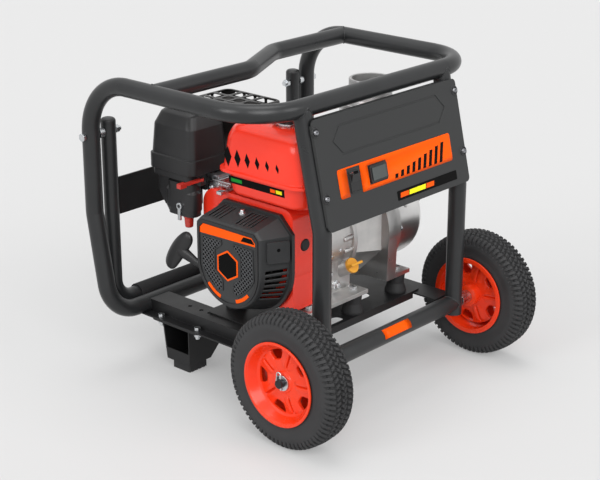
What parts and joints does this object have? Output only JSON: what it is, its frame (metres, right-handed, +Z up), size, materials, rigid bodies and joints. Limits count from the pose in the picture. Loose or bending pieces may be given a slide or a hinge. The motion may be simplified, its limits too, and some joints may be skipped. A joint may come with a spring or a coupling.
{
  "type": "portable engine-driven water pump",
  "caption": "Wheeled petrol-engine water pump in a tube frame with a folding handle, leaning control panel, recoil starter and hose ports.",
  "frame": {"origin": "on the ground, at the middle of the overall box", "axes": "+X along the wheel axle from the starter side to the pump side, +Y from the wheel end to the folding handle, +Z up"},
  "size_m": [0.6672, 0.6464, 0.6255],
  "materials": {
    "frame_paint": "satin dark grey powder coat",
    "black_paint": "satin black powder coat",
    "zinc": "bright zinc plate",
    "tyre_rubber": "matt black rubber",
    "rim_paint": "gloss orange red",
    "black_plastic": "fine grained black",
    "grey_plastic": "fine grained dark grey",
    "rubber": "matt black",
    "red_paint": "gloss coral red",
    "red_plastic": "gloss red",
    "cast_alloy": "as cast, bead blasted",
    "cast_iron": "raw casting",
    "steel_dark": "dull steel",
    "exhaust": "heat resistant matt black",
    "yellow_plastic": "gloss yellow"
  },
  "bodies": {
    "frame": {"main_hoop": "frame_paint", "cross_tube": "frame_paint", "upright_left": "frame_paint", "upright_right": "frame_paint", "axle_tube": "frame_paint", "axle_shaft": "zinc", "wheel_retainers": "zinc", "base_rail_left": "black_paint", "base_rail_right": "black_paint", "engine_bed": "black_paint", "leg_brackets": "black_paint", "rubber_feet": "rubber", "base_bolts": "zinc", "control_panel": "grey_plastic", "panel_screws": "zinc", "hour_meter": "black_plastic", "handle_pivots": "zinc", "crankcase": "cast_alloy", "cylinder_head": "cast_alloy", "fan_shroud": "red_paint", "recoil_cover": "grey_plastic", "carburettor": "cast_alloy", "air_cleaner_base": "black_plastic", "air_cleaner_cover": "black_plastic", "muffler": "exhaust", "muffler_guard": "exhaust", "fuel_tank": "red_paint", "engine_mounts": "rubber", "pump_bell": "cast_alloy", "pump_backplate": "cast_alloy", "pump_casing": "cast_alloy", "volute_insert": "cast_iron", "shaft_seal": "rubber", "suction_flange": "cast_alloy", "discharge_flange": "cast_alloy", "pump_bolts": "zinc"},
    "wheel_left": {"tyre_left": "tyre_rubber", "rim_left": "rim_paint", "hub_bush_left": "steel_dark"},
    "wheel_right": {"tyre_right": "tyre_rubber", "rim_right": "rim_paint", "hub_bush_right": "steel_dark"},
    "handle": {"handle_tube": "frame_paint", "handle_plate": "black_paint", "handle_grip": "rubber", "handle_caps": "black_plastic"},
    "starter": {"starter_grip": "black_plastic"},
    "reel": {"recoil_reel": "black_plastic"},
    "rotor": {"crankshaft": "steel_dark", "flywheel": "cast_alloy", "impeller": "cast_iron"},
    "choke": {"choke_lever": "red_plastic"},
    "fuel_valve": {"fuel_valve_lever": "zinc"},
    "throttle": {"throttle_lever": "zinc"},
    "rocker": {"rocker_switch": "black_plastic"},
    "cap": {"fuel_cap": "black_plastic"},
    "dipstick": {"oil_dipstick": "yellow_plastic"},
    "prime_plug": {"priming_plug": "black_plastic"},
    "flap": {"check_valve": "rubber"}
  },
  "joints": [
    {"name": "wheel_left_spin", "type": "hinge", "parent": "frame", "child": "wheel_left", "pos_m": [-0.2875, -0.19325, 0.13], "axis": [1, 0, 0], "continuous": true},
    {"name": "wheel_right_spin", "type": "hinge", "parent": "frame", "child": "wheel_right", "pos_m": [0.2875, -0.19325, 0.13], "axis": [1, 0, 0], "continuous": true},
    {"name": "handle_fold", "type": "hinge", "parent": "frame", "child": "handle", "pos_m": [0, 0.30475, 0.496], "axis": [1, 0, 0], "range_deg": [0, 95]},
    {"name": "starter_pull", "type": "slide", "parent": "frame", "child": "starter", "axis": [0, 1, 0], "range_m": [0, 0.45], "stiffness_N_per_m": 30, "springref_m": -0.2},
    {"name": "reel_spin", "type": "hinge", "parent": "frame", "child": "reel", "pos_m": [-0.21, -0.00125, 0.288], "axis": [1, 0, 0], "range_deg": [0, 560]},
    {"name": "rotor_spin", "type": "hinge", "parent": "frame", "child": "rotor", "pos_m": [0, -0.00125, 0.288], "axis": [1, 0, 0], "continuous": true},
    {"name": "choke_swing", "type": "hinge", "parent": "frame", "child": "choke", "pos_m": [-0.191, 0.12675, 0.414], "axis": [0, 0, 1], "range_deg": [0, 50]},
    {"name": "fuel_valve_turn", "type": "hinge", "parent": "frame", "child": "fuel_valve", "pos_m": [-0.2164, 0.16275, 0.361], "axis": [1, 0, 0], "range_deg": [0, 90]},
    {"name": "throttle_swing", "type": "hinge", "parent": "frame", "child": "throttle", "pos_m": [-0.146, 0.06875, 0.4014], "axis": [0, 0, 1], "range_deg": [0, 35]},
    {"name": "rocker_tip", "type": "hinge", "parent": "frame", "child": "rocker", "pos_m": [-0.123, -0.196, 0.46619], "axis": [1, 0, 0], "range_deg": [-20, 0]},
    {"name": "cap_turn", "type": "hinge", "parent": "frame", "child": "cap", "pos_m": [-0.136, -0.05322, 0.563], "axis": [0, 0, 1], "range_deg": [0, 90]},
    {"name": "dipstick_turn", "type": "hinge", "parent": "frame", "child": "dipstick", "pos_m": [-0.015, -0.06325, 0.225], "axis": [0, -0.866, 0.5], "range_deg": [0, 720]},
    {"name": "prime_plug_turn", "type": "hinge", "parent": "frame", "child": "prime_plug", "pos_m": [0.1715, -0.07325, 0.386], "axis": [0, 0, 1], "range_deg": [0, 720]},
    {"name": "flap_swing", "type": "hinge", "parent": "frame", "child": "flap", "pos_m": [0.2116, -0.00125, 0.364], "axis": [0, 1, 0], "range_deg": [0, 25]}
  ],
  "couplings": [
    {"joint": "reel_spin", "follows": "starter_pull", "rad_per_m": 21.277}
  ]
}
